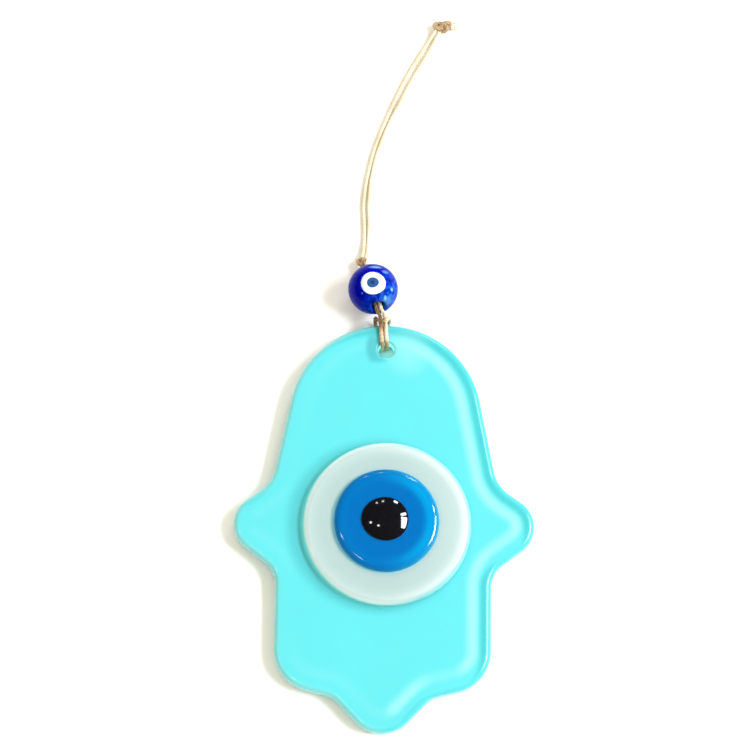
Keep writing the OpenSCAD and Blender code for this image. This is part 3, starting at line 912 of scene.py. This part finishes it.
# Centre line of the two loop strands, and half the distance between them at each point.
LOOP_ROUTE = [
    (-6.75, 27.6, 2.1), (-6.32, 30, 1.2), (-6.06, 34, 0.62), (-6.1, 39, 0.6), (-6.32, 44, 0.6),
    (-5.85, 50, 0.6), (-5.09, 54.5, 0.6), (-4.12, 59, 0.6), (-2.56, 64, 0.6), (-0.16, 70, 0.6),
    (2.52, 76, 0.6), (5.32, 82, 0.6), (8.6, 88, 0.6), (11.32, 92.8, 0.6), (13.7, 97, 1.6),
]
LOOP_SPREAD = [
    0.58, 0.58, 0.59, 0.7, 0.76, 0.68, 0.58, 0.57, 0.57, 0.66, 0.84, 0.87, 0.86, 0.8, 0.62,
]
TAIL_LEFT = [(17.1, 99.25, 1.7), (18.4, 99.9, 1), (20.2, 100.5, 0.6), (22.6, 101.2, 0.6)]
TAIL_RIGHT = [(17.4, 98, 1.6), (18.7, 98.2, 0.9), (20.6, 98.3, 0.6), (22.4, 98.4, 0.6)]


def hitch_line():
    """The whole hitch, from its right leg through the bight to its left leg."""
    left = [(-x, y, z) for x, y, z in reversed(HITCH_HALF)]
    route = [Vector((x + HITCH_SHIFT, y, z)) for x, y, z in HITCH_HALF + [BIGHT_MIDDLE] + left]
    turn = Matrix.Rotation(HITCH_TURN, 3, "Z")
    return smooth_line(from_hole(turn @ p for p in route), 6)


def hitch_darkness(point):
    """Painted shade: the bight is darker on its left, away from the window, and so are the
    legs beside it and in the hole.
    """
    side = 1 - smooth_step(-1.2, 0.2, point.x)
    high = 0.45 + 1.05 * smooth_step(4.5, 7.5, point.y - HOLE_Y)
    return 0.15 + 0.95 * max(side * high, 1 - smooth_step(1.4, 3.0, point.y - HOLE_Y))


def add_hitch(material, hair_material):
    line = hitch_line()
    hitch = twine("hitch_twine", line, material, spacing=0.22, radius=1.1 * TWINE_RADIUS,
                  darkness=hitch_darkness)
    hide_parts("larks_head_hitch")
    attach(hitch, "hitch")
    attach(fuzz("hitch_fuzz", [line], hair_material, 0.4, 0.9), "hitch")


def level_shift(side, yaw):
    """A strand's step sideways from the middle of the two."""
    angle = math.radians(yaw)
    return side * STRAND_OFFSET * Vector((math.cos(angle), math.sin(angle), 0))


def bead_strand_line(side):
    """One strand from under the bight, through the bead, into the upper knot."""
    axis = (bead_matrix().to_3x3() @ Vector((0, 0, 1))).normalized()
    across = Vector((math.cos(BORE_YAW), math.sin(BORE_YAW), 0))
    down = across.cross(axis)
    reach = BEAD_RADIUS - 0.6
    middle = [
        BEAD_CENTRE + axis * reach + down * 0.6, BEAD_CENTRE + axis * 3 + down * 0.1,
        BEAD_CENTRE - axis * 3, BEAD_CENTRE - axis * reach,
        UPPER_KNOT + (BEAD_CENTRE - axis * reach - UPPER_KNOT).normalized() * 1.2,
    ]
    over_lip = BEAD_CENTRE + axis * BEAD_RADIUS + down * 1.1
    places = from_hole(place for place, _ in STRAND_START)
    route = [p + level_shift(side, yaw) for p, (_, yaw) in zip(places, STRAND_START)]
    route.append(over_lip + level_shift(side, OVER_LIP_YAW))
    route += [p + across * side * STRAND_OFFSET for p in middle]
    return smooth_line(route, 6)


def add_bead_strands(material):
    for side, word in ((-1, "left"), (1, "right")):
        # The left strand lies in shade, and is painted nearly black.
        strand = twine(f"bead_strand_{word}", bead_strand_line(side), material, spacing=0.25,
                       darkness=1.6 if side < 0 else 0.2)
        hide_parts(f"bead_twine_{word}")
        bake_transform(strand)


def loop_line(side):
    centre = from_hole(LOOP_ROUTE)
    route = []
    for i, (point, half) in enumerate(zip(centre, LOOP_SPREAD)):
        along = centre[min(i + 1, len(centre) - 1)] - centre[max(i - 1, 0)]
        route.append(point + side * half * Vector((along.y, -along.x, 0)).normalized())
    return smooth_line(route, 8)


def knot_line(centre, turn, stretch=(1.0, 1.0, 1.0)):
    """A tight overhand knot: a trefoil, drawn out by stretch and turned about Z."""
    tipped = Matrix.Diagonal(stretch) @ Matrix.Rotation(math.radians(25), 3, "X")
    rotation = Matrix.Rotation(turn, 3, "Z") @ tipped
    line = []
    steps = 90
    for k in range(steps + 1):
        t = 2 * math.pi * k / steps
        point = Vector((
            math.sin(t) + 2 * math.sin(2 * t), math.cos(t) - 2 * math.cos(2 * t),
            -1.25 * math.sin(3 * t),
        ))
        line.append(centre + rotation @ (point * KNOT_SIZE))
    return line


def frayed_end(name, line, material):
    """Fine fibres that spread out of a twine's cut end along the line."""
    verts, faces = [], []
    line = even_line(line, HAIR_SPACING)
    frames = carried_frames(line)
    for _ in range(FRAYED_FIBRES):
        a = random.uniform(0, 2 * math.pi)
        start = random.uniform(0, 0.4) * TWINE_RADIUS * 2
        flare = random.uniform(0.2, 1.9)
        stop = random.randrange(len(line) // 2, len(line))
        wave = random.uniform(0, 2 * math.pi)
        fibre = []
        for i in range(stop):
            _, normal, side = frames[i]
            t = i / (len(line) - 1)
            away = start + flare * t * t + 0.12 * math.sin(wave + 5 * t)
            point = line[i] + away * (normal * math.cos(a) + side * math.sin(a))
            point.z = max(point.z, FIBRE_CLEARANCE)
            fibre.append(point)
        add_tube(verts, faces, fibre, FIBRE_RADIUS, HAIR_SIDES, HAIR_TAPER)
    obj = new_object(name, verts, faces, material)
    return obj


def add_loop(material, hair_material):
    upper_line = knot_line(UPPER_KNOT, UPPER_KNOT_TURN)
    upper = twine("upper_knot_twine", upper_line, material, spacing=0.2, radius=0.5, darkness=0.95)
    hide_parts("upper_knot")
    end_line = knot_line(END_KNOT + END_KNOT_SHIFT, END_KNOT_TURN, END_KNOT_STRETCH)
    end = twine("end_knot_twine", end_line, material, spacing=0.2, radius=0.62, darkness=0.85)
    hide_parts("end_knot")
    tails = []
    for word, route in (("left", TAIL_LEFT), ("right", TAIL_RIGHT)):
        line = smooth_line(from_hole(route), 8)
        cut = even_line(line, 0.25)
        stub = twine(f"tail_{word}", cut[:9], material, spacing=0.25, darkness=0.1, spread=0.5)
        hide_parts(f"twine_tail_{word}")
        tails.append(stub)
        tails.append(frayed_end(f"frayed_{word}", cut[6:], hair_material))
    for piece in [upper, end] + tails:
        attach(piece, "loop")
    hair_lines = []
    for side, word in ((-1, "left"), (1, "right")):
        line = even_line(loop_line(side), 0.3)
        strand = twine(f"loop_strand_{word}_twine", line, material, turn=side * 1.0)
        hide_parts(f"loop_strand_{word}")
        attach(strand, "loop")
        hair_lines.append(line)
    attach(fuzz("loop_fuzz", hair_lines, hair_material), "loop")


# ---- Stage ----

WINDOW_DISTANCE = 1.34


def add_floor(material):
    half, below = 1.5, 0.00005
    corners = [(-half, -half), (half, -half), (half, half), (-half, half)]
    verts = [Vector((x, y, -below)) / MM for x, y in corners]
    floor = new_object("floor", verts, [(0, 1, 2, 3)], material, smooth=False)


def add_light(name, place, target, size, power, colour):
    data = bpy.data.lights.new(name, "AREA")
    data.shape = "RECTANGLE"
    data.size, data.size_y = size
    data.energy = power
    data.color = colour
    light = bpy.data.objects.new(name, data)
    bpy.context.scene.collection.objects.link(light)
    back = (Vector(place) - Vector(target)).normalized()
    right = Vector((0, 0, 1)).cross(back).normalized()
    matrix = Matrix((right, back.cross(right), back)).transposed().to_4x4()
    matrix.translation = Vector(place)
    light.matrix_world = matrix


def add_stage():
    add_floor(pale_floor())
    target = (0, 0.03, 0)
    # Windows to the right: azimuth, elevation, width, height and power.
    panes = [(1, 45, 0.62, 0.40, 23.0), (28, 44, 0.13, 0.28, 3.6), (66, 33, 0.20, 0.13, 2.5)]
    for i, (azimuth, elevation, width, height, power) in enumerate(panes):
        a, e = math.radians(azimuth), math.radians(elevation)
        towards = Vector((math.cos(a) * math.cos(e), math.sin(a) * math.cos(e), math.sin(e)))
        add_light(f"window_{i}", WINDOW_DISTANCE * towards, target, (width, height), power,
                  (0.95, 0.985, 1.03))
    # Small lamps overhead, which only show as sparkles.
    lamps = [
        ((-0.39, 1.03, 0.86), 0.4), ((-0.10, 1.11, 0.85), 0.4),
        ((-0.74, -0.07, 1.18), 0.9), ((-0.36, -0.30, 1.32), 0.9),
    ]
    for i, (place, power) in enumerate(lamps):
        add_light(f"lamp_{i}", place, target, (0.09, 0.09), power, (1.0, 0.95, 0.88))
    world = bpy.data.worlds.new("world")
    bpy.context.scene.world = world
    world.use_nodes = True
    nodes, links = world.node_tree.nodes, world.node_tree.links
    room = nodes["Background"]
    room.inputs["Color"].default_value = (1.0, 0.915, 0.735, 1)
    room.inputs["Strength"].default_value = 0.82
    # The room overhead is darker than the light that it bounces on to the table.
    mirrored = nodes.new("ShaderNodeBackground")
    mirrored.inputs["Color"].default_value = (0.5, 0.75, 1.0, 1)
    mirrored.inputs["Strength"].default_value = 0.09
    path = nodes.new("ShaderNodeLightPath")
    either = nodes.new("ShaderNodeMixShader")
    links.new(path.outputs["Is Glossy Ray"], either.inputs[0])
    links.new(room.outputs[0], either.inputs[1])
    links.new(mirrored.outputs[0], either.inputs[2])
    links.new(either.outputs[0], nodes["World Output"].inputs[0])
    bpy.context.scene.view_settings.view_transform = "Standard"


def build():
    add_camera()
    twine_material = waxed_twine()
    hair_material = loose_fibre()
    add_loop(twine_material, hair_material)
    add_bead_strands(twine_material)
    add_hitch(twine_material, hair_material)
    # The foot rings are painted glow: in the plate round the white disc's foot, and in the white
    # glass round the blue disc's, where it also takes a painted tint.
    turquoise = fused_glass("turquoise_glass", face=(0.101, 0.543, 0.59),
                            painted_shade=(0.052, 0.41, 0.44), painted_light=(0.26, 0.61, 0.62), holed=True,
                            foot=((0.1, -0.1), (23.8, 23.3), 0.94, 0.48))
    white = fused_glass("white_glass", face=(0.345, 0.46, 0.465), painted_shade=(0.15, 0.52, 0.55),
                        painted_light=(0.52, 0.61, 0.61), glow=0.6, reach=0.003,
                        foot=((0.4, 0.4), (15.3, 15.05), 0.94, 0.31), foot_light=BLUE_LIGHT)
    blue = fused_glass("blue_glass", face=(0.0, 0.113, 0.365), painted_shade=(0.01, 0.21, 0.36),
                       painted_light=(0.0, 0.25, 0.52), glow=0.3, reach=0.002, roughness=0.08,
                       light=BLUE_LIGHT)
    add_plate(turquoise)
    add_disc("white_disc", white, WHITE_CENTRE, 0,
             (WHITE_RADIUS, WHITE_THICKNESS), shoulder=(1.9, 1.6, 0.15), squeeze=0.985,
             lobes=[(0.003, 2, 0.7), (0.002, 3, 2.0)], shades=white_shades)
    add_disc("blue_disc", blue, BLUE_CENTRE, WHITE_THICKNESS,
             (BLUE_RADIUS, BLUE_THICKNESS), shoulder=(2.2, 1.3, 0.2), squeeze=0.985,
             lobes=[(0.003, 2, 2.2), (0.003, 3, 0.4), (0.002, 5, 1.0)], shades=blue_shades)
    add_disc("pupil", black_glass(), PUPIL_CENTRE,
             WHITE_THICKNESS + BLUE_THICKNESS, (PUPIL_RADIUS, PUPIL_THICKNESS),
             shoulder=(0.5, 0.25, 1.55), squeeze=0.94,
             lobes=[(0.01, 2, 1.2), (0.007, 3, 2.9)], shades=plain_shades)
    add_bead(cobalt_glass())
    ring = enamel("bead_white", (0.62, 0.67, 0.74), (0.70, 0.74, 0.79))
    iris = enamel("bead_blue", (0.014, 0.058, 0.19), (0.035, 0.095, 0.26))
    dot = enamel("bead_navy", (0.008, 0.028, 0.11), (0.016, 0.05, 0.16))
    add_eye_cap("bead_ring", "bead_eye_white", 3.4, 0.05, ring,
                lobes=[(0.014, 2, 0.5), (0.006, 3, 1.0)])
    add_eye_cap("bead_iris", "bead_eye_blue", 1.7, 0.09, iris,
                shift=(-0.1, -0.1), lobes=[(0.06, 2, 0.2), (0.015, 3, 0.6)])
    add_eye_cap("bead_dot", "bead_eye_dot", 0.65, 0.12, dot, shift=(-0.1, -0.1))
    add_stage()


build()
